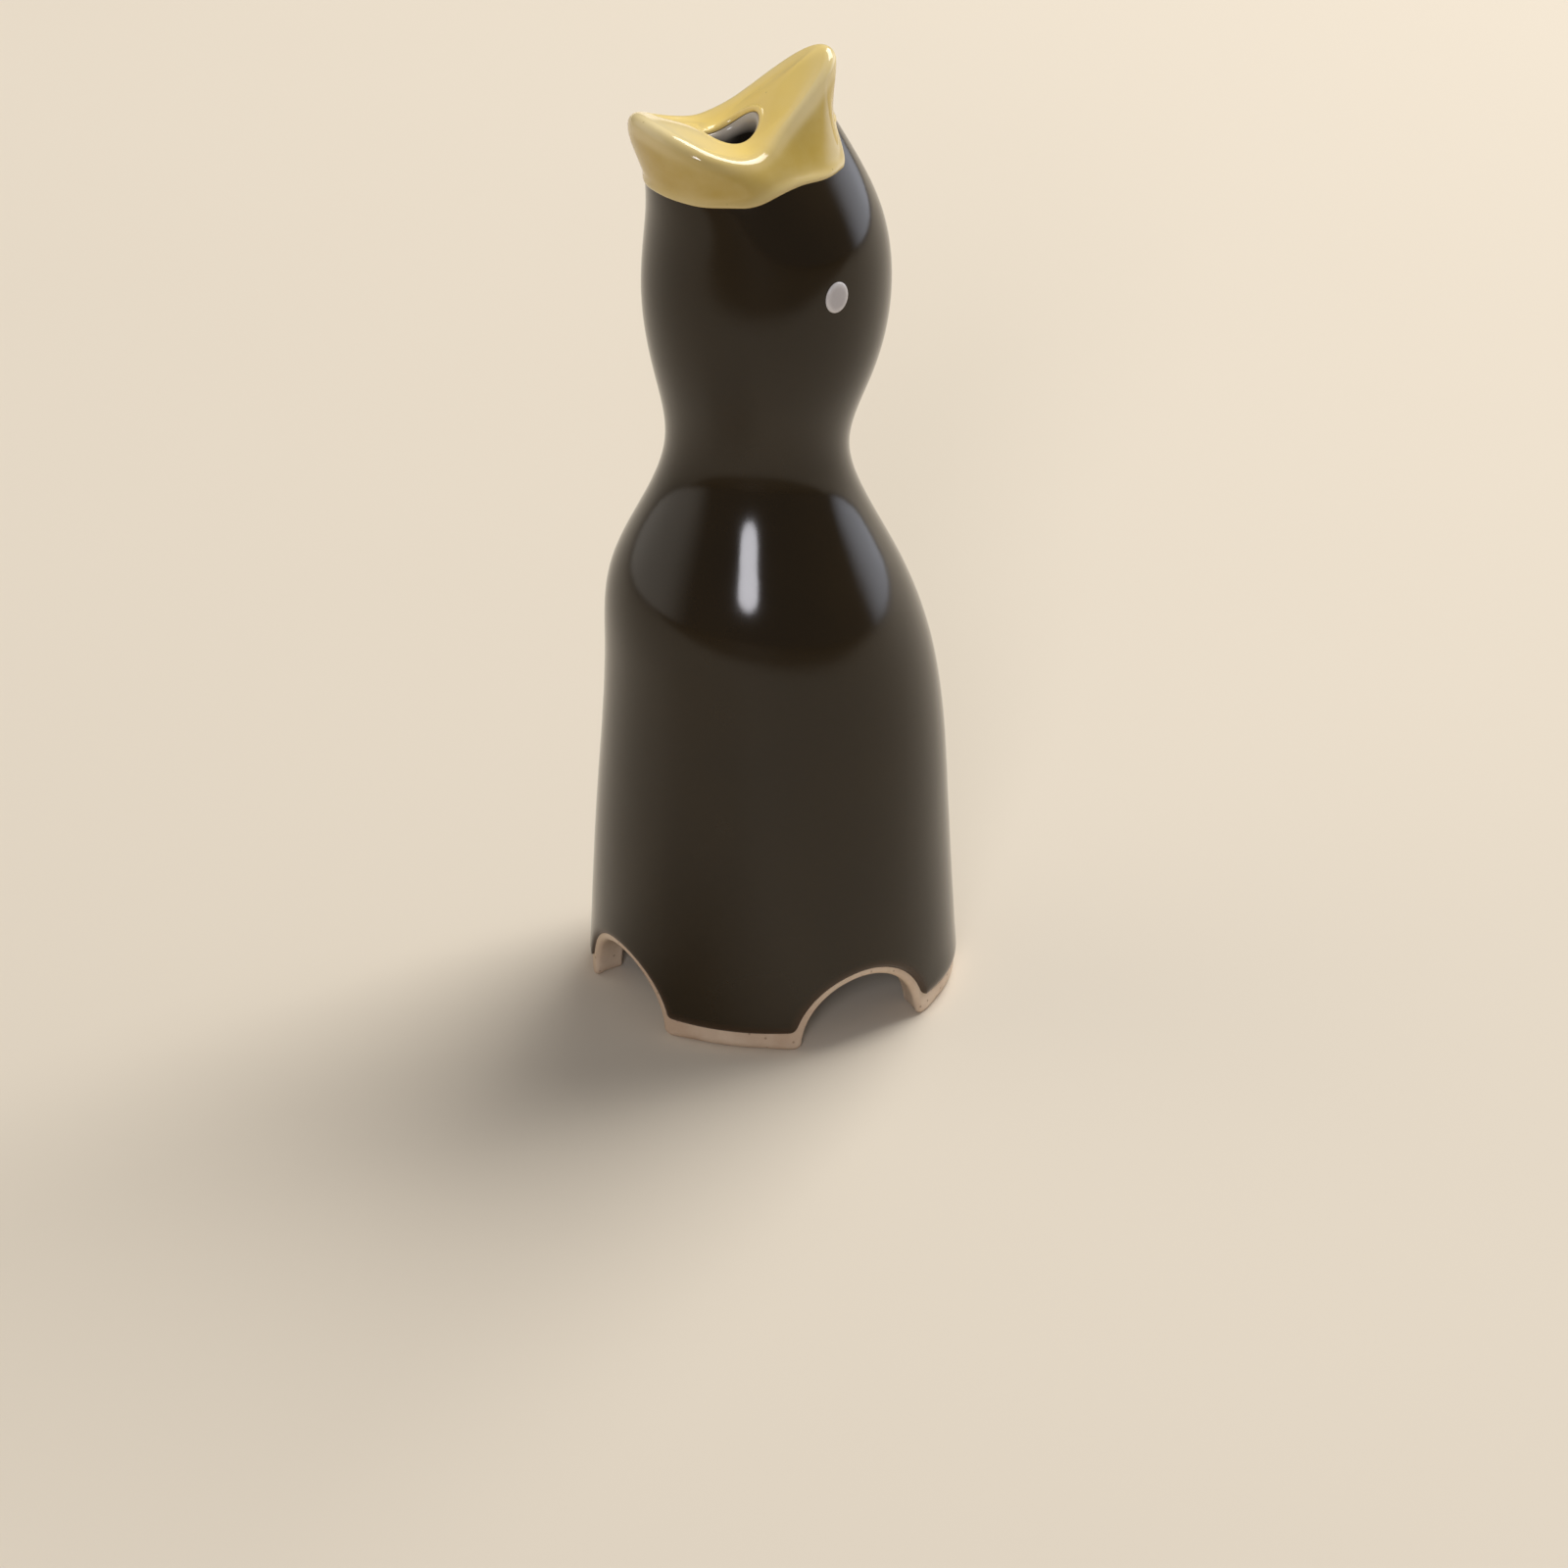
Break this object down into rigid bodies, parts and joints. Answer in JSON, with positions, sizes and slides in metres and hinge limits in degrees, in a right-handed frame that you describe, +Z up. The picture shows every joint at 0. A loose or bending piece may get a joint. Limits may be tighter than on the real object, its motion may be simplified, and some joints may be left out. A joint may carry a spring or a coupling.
{
  "type": "pie bird",
  "caption": "Hollow glazed pottery pie bird: a round foot with steam arches, a dark body and neck, and a pale beak open upwards to vent steam.",
  "frame": {"origin": "middle of the round foot, on the surface that it stands on", "axes": "+Z up, -Y towards the front, where the breast and the lower beak are, +X towards the bird's left side"},
  "size_m": [0.0372, 0.0372, 0.1],
  "materials": {
    "bisque": "matte unglazed fired clay",
    "black_glaze": "high gloss",
    "beak_glaze": "high gloss",
    "liner_glaze": "gloss",
    "eye_enamel": "gloss"
  },
  "bodies": {
    "root": {"clay_body": "bisque", "black_glaze": "black_glaze", "beak_glaze": "beak_glaze", "flue_glaze": "liner_glaze", "left_eye": "eye_enamel", "right_eye": "eye_enamel"}
  },
  "joints": []
}
